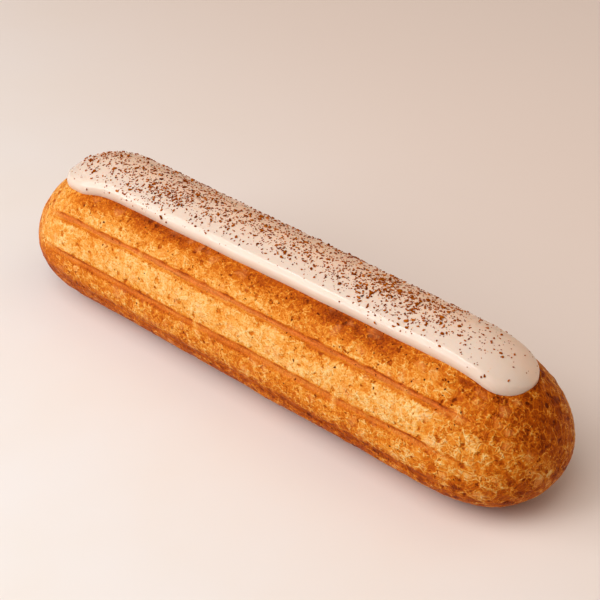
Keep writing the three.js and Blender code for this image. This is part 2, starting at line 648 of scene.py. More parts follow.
@dataclass(frozen=True)
class CrustFinish(Finish):
    """Baked choux: caramel brown to pale gold, with a fine net of pale wrinkles, pits and pinholes.

    Attributes:
        bakes: Colours from the darkest bake to the palest, each with its place 0 to 1.
        channel_colour: The smooth, duller floor of the grooves.
        film_colour: Thin skin stretched over some blisters.
        hole_colour: Colour inside the pinholes.
        roughness: Of the plain crust.
    """

    bakes: tuple[tuple[float, Colour], ...] = (
        (0.0, srgb(100, 34, 2)),
        (0.16, srgb(142, 56, 5)),
        (0.32, srgb(175, 80, 9)),
        (0.44, srgb(198, 103, 17)),
        (0.54, srgb(214, 129, 38)),
        (0.64, srgb(224, 152, 66)),
        (0.74, srgb(230, 172, 97)),
        (0.86, srgb(234, 189, 121)),
        (1.0, srgb(241, 203, 141)),
    )
    channel_colour: Colour = srgb(194, 99, 38)
    film_colour: Colour = srgb(222, 144, 86)
    hole_colour: Colour = srgb(86, 26, 4)
    roughness: float = 0.45

    def material(self) -> bpy.types.Material:
        """Builds the material.

        Returns:
            The crust's material, which reads the fields tone, coarse, pores, astride and grooved.
        """
        material, sheet, place = self.start("baked_choux")
        coarse = sheet.field("coarse")
        grain = sheet.noise(place, 2500.0, 2.0, Roughness=0.65)
        patch = sheet.noise(place, 330.0, 3.0, Roughness=0.6, Distortion=1.0)
        groove = self.groove(sheet, place, grain, patch)
        skin = sheet.math("SUBTRACT", 1.0, groove["bald"])
        marks = self.skin_marks(sheet, place, coarse, skin, patch)
        wild = sheet.remap(coarse, (0.5, 1.0))
        calm = sheet.math("SUBTRACT", 1.0, sheet.product(wild, 0.7))
        plate = sheet.product(sheet.math("SUBTRACT", marks["lot"], 0.5), marks["inset"], wild)
        drawn_out = sheet.vector("MULTIPLY", place, (0.1, 1.0, 1.0))
        streak = sheet.product(sheet.noise(drawn_out, 2300.0, 2.0), groove["floor"])
        # Tone follows the fine relief: raised grain, fibres, wrinkles and veins paler, creases darker;
        # partly the crust's own colour, partly painted light and shade.
        tone = sheet.weighted(
            (sheet.field("tone"), 1.0),
            (sheet.product(grain, calm), 0.55),
            (sheet.product(patch, sheet.remap(coarse, (0.2, 1.0), (0.35, 0.42))), skin),
            (sheet.product(marks["fibre"], calm), 0.34),
            (plate, 0.44),
            (marks["wrinkle"], 0.22),
            (marks["vein"], 0.29),
            # painted shade: pits darkened as if their walls were in shade
            (marks["crease"], -0.20),
            (marks["pit"], -0.24),
            # painted shadow: a thin dark line along the upper side of each groove
            (groove["edge"], -0.42),
            (groove["lip"], -0.19),
        )
        chosen = sheet.product(sheet.math("GREATER_THAN", marks["lot"], 0.8), marks["cracked"])
        film = sheet.product(chosen, marks["inset"], 0.3)
        filmed = sheet.blend(film, sheet.ramp(tone, self.bakes), self.film_colour)
        shade = sheet.total(0.5, sheet.weighted((streak, 1.2), (grain, 0.9)))
        floor = sheet.ramp(shade, (
            (0.0, tuple(c * 0.55 for c in self.channel_colour)),
            (0.5, self.channel_colour),
            (1.0, tuple(min(c * 1.5, 1.0) for c in self.channel_colour)),
        ))
        grooved = sheet.blend(sheet.product(groove["floor"], 0.8), filmed, floor)
        height = sheet.weighted(
            (grain, 0.22),
            (patch, 0.38),
            (marks["fibre"], 0.20),
            (marks["wrinkle"], 0.09),
            (marks["vein"], 0.12),
            (sheet.product(marks["inset"], coarse, marks["cracked"]), 0.12),
            (marks["crease"], -0.07),
            (marks["pit"], -0.24),
            (marks["hole"], -0.08),
            (streak, 0.14),
        )
        bump = sheet.add("Bump", {"Height": height, "Strength": 1.0, "Distance": MM})
        self.close(sheet, {"Base Color": sheet.blend(marks["hole"], grooved, self.hole_colour),
                           "Roughness": self.roughness, "Normal": bump.outputs["Normal"],
                           "Specular IOR Level": 0.03, "Subsurface Weight": 0.12,
                           "Subsurface Radius": (1.0, 0.36, 0.1), "Subsurface Scale": 0.6 * MM})
        return material

    def skin_marks(self, sheet: NodeSheet, place: Socket, coarse: Socket, skin: Socket,
                   patch: Socket) -> dict[str, Socket]:
        """Marks of the crust itself: its nets of lines, fibres, pits and pinholes.

        Args:
            sheet: Sheet to add to.
            place: Object coordinates.
            coarse: How coarsely the crust has cracked, 0 to 1.
            skin: 1 on the crust and 0 in a groove.
            patch: Coarse noise about zero.

        Returns:
            Masks: cracked, where the skin has cracked; fibre, fine ridges along the eclair;
            wrinkle and vein, pale lines; crease, a dark one; pit; hole, a pinhole; and inset and
            lot of the coarsest cells.
        """
        effects = self.effects
        cracked = sheet.product(sheet.remap(patch, (-0.13, 0.05), (0.3, 1.0), smooth=True), skin)
        along = sheet.vector("MULTIPLY", place, (0.55, 1.0, 1.0))
        fibres = sheet.add("TexNoise", {"Vector": along, "Scale": 1100.0, "Detail": 3.0, "Roughness": 0.65,
                                        "Distortion": 0.7}, noise_type="RIDGED_MULTIFRACTAL").outputs["Fac"]
        sizes = {"fine": (along, 900.0, 1.0, 0.14), "broad": (place, 360.0, 1.5, 0.08),
                 "knots": (place, 560.0, 1.3, 0.10), "creases": (place, 640.0, 1.6, 0.09)}
        net = {name: self.effect(sheet, effects.crackle, {
            "Vector": where, "Scale": scale, "Bend": bend * MM, "Width": width})
            for name, (where, scale, bend, width) in sizes.items()}
        lines = sheet.math("MAXIMUM", net["broad"]["Line"], net["knots"]["Line"])
        pits = self.effect(sheet, effects.speckle, {
            "Vector": place, "Scale": 400.0, "Radius": 0.27, "Share": 1.0, "Softness": 0.6})
        holes = self.effect(sheet, effects.speckle, {
            "Vector": place, "Scale": 760.0, "Radius": 0.2, "Share": sheet.field("pores")})
        return {
            "cracked": cracked,
            "fibre": sheet.product(sheet.remap(fibres, (0.4, 1.6), (-0.35, 0.65), smooth=True), skin),
            "wrinkle": sheet.product(net["fine"]["Line"], cracked),
            "vein": sheet.product(lines, coarse, sheet.remap(cracked, (0.2, 1.0), (0.55, 1.0))),
            "crease": sheet.product(net["creases"]["Line"], cracked),
            "pit": sheet.product(pits["Mask"], skin),
            "hole": holes["Mask"],
            "inset": net["broad"]["Inset"],
            "lot": net["broad"]["Lot"],
        }

    @staticmethod
    def groove(sheet: NodeSheet, place: Socket, grain: Socket, patch: Socket) -> dict[str, Socket]:
        """Marks of a groove, read off the distance from its middle, with a ragged edge.

        Args:
            sheet: Sheet to add to.
            place: Object coordinates.
            grain: Fine noise about zero.
            patch: Coarser noise about zero.

        Returns:
            Masks: floor, the channel; edge, a thin broken line of painted shadow above it, where the
            upper lip shades the channel; lip, the band below it; and bald, where the crust's own
            texture gives way.
        """
        astride = sheet.product(sheet.field("astride"), GROOVE_REACH)
        offset = sheet.total(astride, sheet.weighted((grain, 0.5), (patch, 0.8)))
        half = sheet.total(0.48, sheet.product(sheet.noise(place, 150.0, 2.0), 0.9))
        past_below = sheet.math("SUBTRACT", offset, half)
        gap = sheet.math("SUBTRACT", sheet.math("ABSOLUTE", offset), half)
        above = sheet.math("ABSOLUTE", sheet.total(offset, half))
        below = sheet.math("ABSOLUTE", sheet.math("SUBTRACT", past_below, 0.35))
        breaks = sheet.remap(sheet.noise(place, 240.0, 2.0), (-0.1, 0.12), (0.3, 1.4))
        masks = {
            "floor": sheet.remap(gap, (0.18, -0.14), smooth=True),
            # edge: painted shadow under each groove's upper lip
            "edge": sheet.product(sheet.remap(above, (0.5, 0.0), smooth=True), breaks),
            "lip": sheet.remap(below, (0.7, 0.0), smooth=True),
            "bald": sheet.remap(gap, (0.7, 0.0), smooth=True),
        }
        strength = sheet.field("grooved")
        return {name: sheet.product(mask, strength) for name, mask in masks.items()}


@dataclass(frozen=True)
class IcingFinish(Finish):
    """Set icing: smooth, glossy and a little milky, stained where spice dust lies on it.

    Attributes:
        colour: Clean icing.
        stain: Icing under fine spice dust.
        powder: The finest grains of the dust.
        crust_tint_and_shade: The thin edge, where the crust shows through, carried up the side
        walls as painted shade.
        scatter_depth: How deep light reaches, in millimetres.
    """

    colour: Colour = srgb(222, 202, 187)
    stain: Colour = srgb(250, 202, 168)
    powder: Colour = srgb(232, 162, 92)
    crust_tint_and_shade: Colour = srgb(200, 160, 124)
    scatter_depth: float = 1.4

    def material(self) -> bpy.types.Material:
        """Builds the material.

        Returns:
            The icing's material, which reads the fields dust, haze and thin from the mesh.
        """
        material, sheet, place = self.start("icing")
        dust = sheet.field("dust")
        cloud = self.effect(sheet, self.effects.mottle, {"Vector": place, "Scale": 700.0, "Low": 0.35})
        stained = sheet.product(sheet.field("haze"), sheet.remap(cloud["Value"], (0.0, 1.0), (0.75, 1.0)))
        specks = self.effect(sheet, self.effects.speckle, {
            "Vector": place, "Scale": 1900.0, "Radius": 0.34, "Share": sheet.product(dust, 0.8)})
        # the crust's tint at the thin edge, carried up the side walls as painted shade
        iced = sheet.blend(sheet.product(sheet.field("thin"), 0.38), self.colour, self.crust_tint_and_shade)
        hazed = sheet.blend(stained, iced, self.stain)
        colour = sheet.blend(sheet.product(specks["Mask"], 0.7), hazed, self.powder)
        ripple = sheet.add("TexNoise", {"Vector": place, "Scale": 330.0, "Detail": 2.0})
        bump = sheet.add("Bump", {"Height": ripple.outputs["Fac"], "Strength": 0.5, "Distance": 0.2 * MM})
        rough = sheet.remap(dust, (0.0, 1.0), (0.25, 0.45))
        self.close(sheet, {"Base Color": colour, "Roughness": rough, "Normal": bump.outputs["Normal"],
                           "Subsurface Weight": 0.35, "Subsurface Radius": (1.0, 0.62, 0.45),
                           "Subsurface Scale": self.scatter_depth * MM, "Coat Weight": 0.55,
                           "Coat Roughness": 0.03, "Coat IOR": 1.5, "Specular IOR Level": 0.25})
        return material


@dataclass(frozen=True)
class SpiceFinish(Finish):
    """Ground spice: each grain between rust and dark bark.

    Attributes:
        barks: Colours from the palest grain to the darkest, each with its place 0 to 1.
    """

    barks: tuple[tuple[float, Colour], ...] = (
        (0.0, srgb(182, 100, 28)),
        (0.35, srgb(154, 74, 6)),
        (0.7, srgb(128, 54, 0)),
        (1.0, srgb(80, 28, 0)),
    )

    def material(self) -> bpy.types.Material:
        """Builds the material.

        Returns:
            The grains' material, which reads the field bark from the mesh.
        """
        material, sheet, place = self.start("ground_spice")
        shade = self.effect(sheet, self.effects.mottle, {
            "Vector": place, "Scale": 2500.0, "Low": -0.08, "High": 0.08})
        colour = sheet.ramp(sheet.total(sheet.field("bark"), shade["Value"]), self.barks)
        self.close(sheet, {"Base Color": colour, "Roughness": 0.95, "Specular IOR Level": 0.03})
        return material


@dataclass(frozen=True)
class TableFinish(Finish):
    """A pale, faintly clouded table top, darker behind the eclair as painted falloff of the light.

    Attributes:
        light: The lighter clouds.
        dark: The darker clouds.
        back: Painted shade far behind the eclair, where the light falls off.
        away: Direction in which it deepens.
        fades: Distances that way, in millimetres, where it starts to deepen and is deepest.
    """

    light: Colour = srgb(232, 229, 229)
    dark: Colour = srgb(231, 225, 221)
    back: Colour = srgb(229, 211, 201)
    away: tuple[float, float, float] = (0.3, 0.95, 0.0)
    fades: tuple[float, float] = (-130.0, 130.0)

    def material(self) -> bpy.types.Material:
        """Builds the material.

        Returns:
            The table's material.
        """
        material, sheet, place = self.start("table")
        cloud = self.effect(sheet, self.effects.mottle, {"Vector": place, "Scale": 22.0})["Value"]
        clouded = sheet.blend(cloud, self.light, self.dark)
        # painted falloff of light: the table darkens towards +Y, behind the eclair
        distance = sheet.vector("DOT_PRODUCT", place, self.away)
        depth = sheet.remap(distance, tuple(fade * MM for fade in self.fades), smooth=True)
        colour = sheet.blend(depth, clouded, self.back)
        self.close(sheet, {"Base Color": colour, "Roughness": 0.75, "Specular IOR Level": 0.2})
        return material


@dataclass(frozen=True)
class Grooves:
    """The rows left by the nozzle's teeth.

    Attributes:
        per_side: Grooves down each side, besides the one along the crown.
        first: Degrees from the crown to the first one down a side.
        spacing: Degrees from each to the next.
        depth: Depth of the channel.
        half_width: Half the channel's width.
        soft_edge: Width of the channel's soft edge.
        fall: How far a lobe falls off towards its grooves.
        wander: How far a groove strays, in degrees.
        twist: Degrees that the whole row turns for each millimetre along X.
        beside_icing: Degrees from the crown to where the icing ends, and how much shows of the
            grooves that it half covers.
        lower: Degrees down to the lower grooves, and their depth and finish as shares of the others'.
        underneath: Degrees down to the underside, and how much shows of the grooves on it.
        start: X where the grooves begin and are whole.
        stop: X where they begin to fade and are gone.
    """

    per_side: int = 6
    first: float = 25.0
    spacing: float = 26.3
    depth: float = 0.62
    half_width: float = 0.48
    soft_edge: float = 0.12
    fall: float = 0.3
    wander: float = 0.8
    twist: float = -0.02
    beside_icing: tuple[float, float] = (30.0, 0.12)
    lower: tuple[float, float, float] = (70.0, 0.5, 0.7)
    underneath: tuple[float, float] = (95.0, 0.4)
    start: tuple[float, float] = (-66.0, -57.0)
    stop: tuple[float, float] = (50.0, 66.0)

    def angles(self) -> Array:
        """Angle of each groove, in degrees from the crown."""
        down = self.first + self.spacing * np.arange(self.per_side)
        return np.concatenate([[0.0], down, FULL_TURN - down[::-1]])

    def marks(self, x: Array, angle: Array, radius: float, noise: SolidNoise) -> dict[str, Array]:
        """Where the channels and what lies beside them are.

        Args:
            x: Places along the eclair.
            angle: Degrees from the crown.
            radius: Radius that turns degrees into millimetres.
            noise: Gives each groove its own way.

        Returns:
            Arrays of x's shape: channel, 1 on a floor; flank, 1 at a groove and 0 at the middle of
            a lobe; bald, 1 on a floor and fading beside it; astride, the distance below a groove's
            middle, scaled to -1 to 1 over GROOVE_REACH and held there; and grooved, 1 within that
            distance of a groove. All but astride are 0 where the grooves have faded.
        """
        found = {name: np.zeros(angle.shape) for name in ("channel", "bald", "grooved")}
        nearest = np.full(angle.shape, FULL_TURN)
        astride = np.ones(angle.shape)
        for number, base in enumerate(self.angles()):
            line = on_plane(x, 97.0 * number)
            side = 1.0 if base <= FULL_TURN / 2 else -1.0
            own = base + side * self.twist * x + self.wander * noise.layered(line, 26.0, 3)
            offset = (angle - own + FULL_TURN / 2) % FULL_TURN - FULL_TURN / 2
            below = side * np.radians(offset) * radius
            width = self.half_width * (1 + 0.3 * noise.layered(line + 41.0, 9.0, 2))
            whole = 1 - 0.85 * ease(noise.layered(line + 83.0, 6.0, 2), 0.38, 0.55)
            down = min(base, FULL_TURN - base)
            if down < self.beside_icing[0]:
                whole = whole * self.beside_icing[1]
            elif down > self.underneath[0]:
                whole = whole * self.underneath[1]
            depth, finish = self.lower[1:] if down > self.lower[0] else (1.0, 1.0)
            floor = 1 / (1 + np.exp((np.abs(below) - width) / self.soft_edge))
            shapes = {"channel": depth * floor,
                      "bald": 1 - ease(np.abs(below), width, width + 0.9),
                      "grooved": finish * (1 - ease(np.abs(below), 1.7, 2.4))}
            for name, shape in shapes.items():
                found[name] = np.maximum(found[name], shape * whole)
            astride = np.where(np.abs(offset) < nearest, np.clip(below / GROOVE_REACH, -1.0, 1.0), astride)
            nearest = np.minimum(nearest, np.abs(offset))
        found["flank"] = np.cos(np.pi * np.clip(nearest / self.spacing, 0.0, 0.5)) ** 2
        length = ease(x, *self.start) * (1 - ease(x, *self.stop))
        return {name: shape * length for name, shape in found.items()} | {"astride": astride}


@dataclass
class ChouxShell:
    """The baked shell: the smooth form, its piped lobes, and the wrinkled, blistered crust over them.

    Attributes:
        form: The smooth form.
        grooves: The piped grooves.
        broad: Spacing and height of the broad unevenness.
        lumps: Spacing and height of the lumps on it.
        wrinkles: Spacing and height of the wrinkles.
        blisters: Spacing of the blisters, their height where the crust is fine, and how much
            higher they are where it is coarse.
        pits: Spacing and depth of the pits.
        warp: Spacing and reach of the noise that bends wrinkles and blisters.
        rows: Rows of points from tip to tip.
        columns: Points round each row.
        noise: Random fields of the crust.
        pit_noise: Random fields of the pits.
    """

    form: ShellForm = field(default_factory=ShellForm)
    grooves: Grooves = field(default_factory=Grooves)
    broad: tuple[float, float] = (24.0, 0.26)
    lumps: tuple[float, float] = (5.0, 0.10)
    wrinkles: tuple[float, float] = (2.4, 0.10)
    blisters: tuple[float, float, float] = (2.9, 0.05, 0.16)
    pits: tuple[float, float] = (3.0, 0.32)
    warp: tuple[float, float] = (2.6, 0.9)
    rows: int = 400
    columns: int = 248
    noise: SolidNoise = SolidNoise(11)
    pit_noise: SolidNoise = SolidNoise(23)

    def row_places(self) -> Array:
        """X of each row, at even steps along the crown's outline.

        Returns:
            The places, from tip to tip.
        """
        turn = np.linspace(0.0, np.pi, CROWN_STEPS)
        x = -np.cos(turn) * self.form.length / 2
        crown = self.form.section(x)[1]
        walked = np.concatenate([[0.0], np.cumsum(np.hypot(np.diff(x), np.diff(crown)))])
        return np.interp(np.linspace(0.0, walked[-1], self.rows), walked, x)

    def column_angles(self) -> Array:
        """Angle of each column: sparse under the icing and on the base, close at the grooves.

        Returns:
            The angles, in degrees from the crown, rising.
        """
        angles = np.linspace(0.0, FULL_TURN, ANGLE_STEPS)
        side = from_crown(angles)
        density = 0.45 + 0.55 * ease(side, 14.0, 22.0) - 0.6 * ease(side, 150.0, 162.0)
        for groove in self.grooves.angles():
            density += bell(angles, groove, 3.5) * (density > 0.8)
        return evenly_spaced(density, angles, self.columns + 1)[:-1]

    def build(self) -> bpy.types.Object:
        """Builds the shell's mesh.

        Returns:
            The shell.
        """
        x, angle = np.meshgrid(self.row_places(), self.column_angles(), indexing="ij")
        smooth = self.form.surface(x, angle)
        normals = grid_normals(smooth)
        normals[0], normals[-1] = (-1.0, 0.0, 0.0), (1.0, 0.0, 0.0)
        marks = self.grooves.marks(x, angle, self.form.width / 2, self.noise)
        relief, tone = self.crust(x, angle, smooth, marks)
        relief = relief * (1 - ease(from_crown(angle), 34.0, 24.0))
        relief = relief - self.grooves.depth * marks["channel"] - self.grooves.fall * marks["flank"]
        lifted = smooth + normals * relief[..., None]
        lifted[..., 2] = np.maximum(lifted[..., 2], 0.0)
        fields = {"tone": tone, "astride": marks["astride"], "grooved": marks["grooved"],
                  "coarse": self.coarseness(x, angle), "pores": self.pores(x, angle)}
        return closed_skin("choux_shell", lifted, fields)

    def coarseness(self, x: Array, angle: Array) -> Array:
        """How coarsely the crust has cracked: most at the +X end, some low on the sides.

        Args:
            x: Places along the eclair.
            angle: Degrees from the crown.

        Returns:
            Shares 0 to 1.
        """
        side = from_crown(angle)
        far = ease(x, 30.0, 62.0)
        low = ease(side, 78.0, 98.0)
        return np.clip(0.30 + 0.7 * far + 0.45 * low - 0.2 * ease(x, -20.0, -60.0), 0.0, 1.0)

    def crust(self, x: Array, angle: Array, points: Array, marks: dict[str, Array]) -> tuple[Array, Array]:
        """Relief and bake of the crust; the bake also holds painted shade under the icing's edge and
        in the pits.

        Relief is broad unevenness plus lumps, plus low wrinkles along zero lines of noise, plus
        blisters, each cell domed by its own amount, less round pits.

        Args:
            x: Places along the eclair.
            angle: Degrees from the crown.
            points: The same places on the smooth form.
            marks: The grooves.

        Returns:
            Height above the smooth form, and tone from 0, dark, to 1, pale.
        """
        noise = self.noise
        side = from_crown(angle)
        bare = 1 - marks["bald"]
        coarse = self.coarseness(x, angle)
        warp = np.stack([noise.smooth(points + 7.0 * k, self.warp[0]) for k in (1, 2, 3)], axis=-1)
        bent = points + self.warp[1] * warp
        broad = noise.layered(points, self.broad[0], 2)
        lumps = noise.layered(points + 11.0, self.lumps[0], 2)
        wrinkle = noise.ridges(bent + 19.0, self.wrinkles[0], 5.0)
        first, second, lot = noise.cells(bent + 5.0, self.blisters[0])
        blister = ease(second - first, 0.0, 1.4) * (lot - 0.35)
        blister_height = self.blisters[1] + self.blisters[2] * coarse
        pit_gap, _, pit_lot = self.pit_noise.cells(points + 0.3 * warp, self.pits[0])
        pit_size = 0.35 + 0.5 * pit_lot
        pit = np.clip(1 - (pit_gap / pit_size) ** 2, 0.0, 1.0) * (pit_lot < 0.6)
        texture = self.wrinkles[1] * wrinkle + blister_height * blister - self.pits[1] * pit
        relief = self.broad[1] * broad + self.lumps[1] * lumps + bare * texture
        patches = noise.layered(points * np.array([0.55, 1.0, 1.0]) + 53.0, 10.0, 3)
        right = ease(x, 45.0, 64.0)
        left = ease(x, -56.0, -72.0)
        # darker band below the icing's edge: partly browner bake, partly painted shade cast by the icing
        bake_and_shade_under_icing = ease(side, 47.0, 25.0)
        bake_and_shade_under_icing = bake_and_shade_under_icing * (1 - 0.7 * ease(x, 24.0, 54.0)) * (1 - 0.8 * ease(x, -50.0, -64.0))
        low = (0.18 + 0.03 * ease(x, 10.0, 40.0)) * ease(side, 76.0, 86.0) + 0.21 * ease(side, 88.0, 104.0)
        darker = (0.03 * ease(x, -40.0, 20.0)
                  + (0.05 + 0.05 * ease(x, 0.0, 30.0)) * ease(side, 58.0, 46.0)
                  + 0.42 * bake_and_shade_under_icing * (0.85 + patches)
                  + low * (1 - 0.7 * right)
                  + 0.26 * right
                  + 0.17 * left * ease(side, 34.0, 50.0)
                  + (0.04 + 0.13 * ease(side, 66.0, 72.0)) * marks["bald"])
        # darker in pits as painted shade; paler on the wrinkles' raised crests, partly painted light
        paler = 0.10 * lumps + 0.13 * patches + bare * (0.08 * wrinkle - 0.12 * pit)
        tone = 0.75 + paler - darker
        return relief, tone

    def pores(self, x: Array, angle: Array) -> Array:
        """Share of pinholes: most beside the icing, few lower down, none below the widest line.

        Args:
            x: Places along the eclair.
            angle: Degrees from the crown.

        Returns:
            Shares 0 to 1.
        """
        side = from_crown(angle)
        share = 0.16 + 0.55 * ease(side, 58.0, 42.0)
        return share * (1 - ease(side, 84.0, 96.0)) * (1 - 0.8 * ease(x, 52.0, 64.0))

    def dress(self, piece: bpy.types.Object) -> None:
        """Gives the shell its finish and its place in the frame."""
        piece.data.materials.append(CrustFinish().material())
        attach(piece, "root")
        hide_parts(CadNode.SHELL.value)


@dataclass
class IcingStrip:
    """The icing: a strip along the crown with rounded edges and tongue-shaped ends.

    Attributes:
        form: The shell it lies on.
        start: X of its first tip.
        stop: X of its last tip.
        offset: How far it lies to one side.
        half_width: Half its width at the middle.
        lean: How much farther it reaches towards -Y, at the middle and added at the last tip.
        bulge: How far it spreads towards -Y near the first tip.
        taper: Share of the width lost from the middle to the last tip.
        end: Rounding of its tips, seen from above.
        edge: Height of its edge.
        edge_taper: Share of the edge's height lost from the middle to the last tip.
        shoulder: Radius of the edge.
        crowning: How far it swells towards the middle.
        sinking: How far its edge dips into the crust.
        bedding: How much farther its underside does.
        rows: Rows of points from tip to tip.
        columns: Points round each row.
        waves: Spacing and height of the waves on its top.
        noise: Random fields of the icing.
    """

    form: ShellForm = field(default_factory=ShellForm)
    start: float = -66.6
    stop: float = 66.4
    offset: float = 0.8
    half_width: float = 8.2
    lean: tuple[float, float] = (0.18, 0.55)
    bulge: float = 1.4
    taper: float = 0.125
    end: EndRounding = EndRounding(7.0, 2.25)
    edge: float = 2.1
    edge_taper: float = 0.13
    shoulder: float = 2.15
    crowning: float = 0.3
    sinking: float = 0.75
    bedding: float = 0.5
    rows: int = 380
    columns: int = 150
    waves: tuple[float, float] = (8.0, 0.09)
    noise: SolidNoise = SolidNoise(37)

    def top(self, x: Array, across: Array) -> Array:
        """Upper skin: a quarter-round shoulder up from either edge, then a slight swell.

        Args:
            x: Places along the eclair.
            across: -1 at the edge towards -Y, 1 at the other.

        Returns:
            Points, shape (..., 3).
        """
        middle = (self.start + self.stop) / 2
        half_length = (self.stop - self.start) / 2
        along = (x - middle) / half_length
        rounding = np.maximum(self.end.at(np.abs(x - middle), half_length), 1e-4)
        half_width = self.half_width * (1 - self.taper * along) * rounding
        rim = on_plane(x, np.sign(across) * 40.0)
        half_width = half_width + 0.2 * self.noise.layered(rim, 11.0, 2) * rounding
        nearer = self.lean[0] + self.lean[1] * along + self.bulge * bell(x, -55.5, 5.0)
        half_width = half_width + (across < 0) * nearer * rounding
        inward = half_width * (1 - np.abs(across))
        up_shoulder = np.minimum(inward / (self.shoulder * rounding), 1.0)
        edge = self.edge * (1 - self.edge_taper * along) * np.sqrt(rounding)
        crowning = self.crowning * rounding * (1 - across**2)
        y = self.offset + half_width * across
        spacing, swing = self.waves
        waves = swing * self.noise.layered(on_plane(x, y), spacing, 2) * up_shoulder * rounding
        sunk = self.sinking * (1 - up_shoulder) ** 3
        height = edge * np.sqrt(1 - (1 - up_shoulder) ** 2) + crowning + waves - sunk
        return self.form.above_crown(x, y, height)

    def build(self) -> bpy.types.Object:
        """Builds the icing's mesh: the top, closed underneath by a skin bedded in the crust.

        Returns:
            The icing.
        """
        half_length = (self.stop - self.start) / 2
        ring = np.linspace(-np.pi / 2, np.pi / 2, self.rows)
        x = (self.start + self.stop) / 2 + half_length * np.sin(ring)
        turn = np.arange(self.columns) / self.columns
        x, turn = np.meshgrid(x, turn, indexing="ij")
        over = turn >= 0.5
        across = -np.cos(2 * np.pi * turn)
        upper = self.top(x, across)
        foot = np.clip((1 - np.abs(across)) * 8, 0.0, 1.0)
        under = self.form.above_crown(x, upper[..., 1], -self.sinking - self.bedding * foot)
        points = np.where(over[..., None], upper, under)
        points[0], points[-1] = points[0].mean(axis=0), points[-1].mean(axis=0)
        # thin fades over 0.9 mm in from each edge, which carries the edge tint up the side walls as painted
        # shade
        fields = {"dust": self.dusting(x, across), "haze": self.haze(x, across),
                  "thin": np.exp(-(1 - np.abs(across)) * self.half_width / 0.9)}
        return closed_skin("icing_strip", points, fields)

    def haze(self, x: Array, across: Array) -> Array:
        """How far the finest dust has stained a place: more towards the far edge, less at the +X tip.

        Args:
            x: Places along the eclair.
            across: -1 at the edge towards -Y, 1 at the other.

        Returns:
            Shares 0 to 1.
        """
        drift = 0.85 + 0.3 * self.noise.layered(on_plane(x, across * self.half_width) + 29.0, 9.0, 2)
        ends = (1 - 0.5 * ease(x, 40.0, 54.0)) * ease(x, -68.0, -60.0)
        return np.clip(ease(across, -0.8, 0.5) * drift, 0.0, 1.0) * ends

    def dusting(self, x: Array, across: Array) -> Array:
        """How much spice fell on a place: a band along the strip, in drifts, thin at the +X tip.

        Args:
            x: Places along the eclair.
            across: -1 at the edge towards -Y, 1 at the other.

        Returns:
            Shares 0 to 1.
        """
        sifted = (0.52 + 0.24 * bell(x, -30.0, 11.0) + 0.34 * bell(x, 31.0, 11.0)
                  - 0.10 * ease(x, -40.0, -50.0) - 0.36 * ease(x, 42.0, 52.0))
        clumps = 1 + 0.9 * self.noise.layered(on_plane(x, across * self.half_width) + 61.0, 6.0, 3)
        over = (across + 1) / 2
        spread = bell(x, -40.0, 16.0) + 0.6 * bell(x, 31.0, 13.0)
        near_side = ease(over + 0.16 * spread, 0.06, 0.5)
        far_side = (1 - 0.5 * ease(over, 0.5, 0.75)) * (1 - ease(over, 0.9, 1.0))
        ends = (1 - 0.7 * ease(x, 56.0, 64.0)) * ease(x, -67.0, -58.0)
        return np.clip(sifted * clumps, 0.05, 1.2) * near_side * far_side * ends

    def dress(self, piece: bpy.types.Object) -> None:
        """Gives the icing its finish and its place in the frame."""
        piece.data.materials.append(IcingFinish().material())
        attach(piece, "root")
        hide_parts(CadNode.ICING.value)


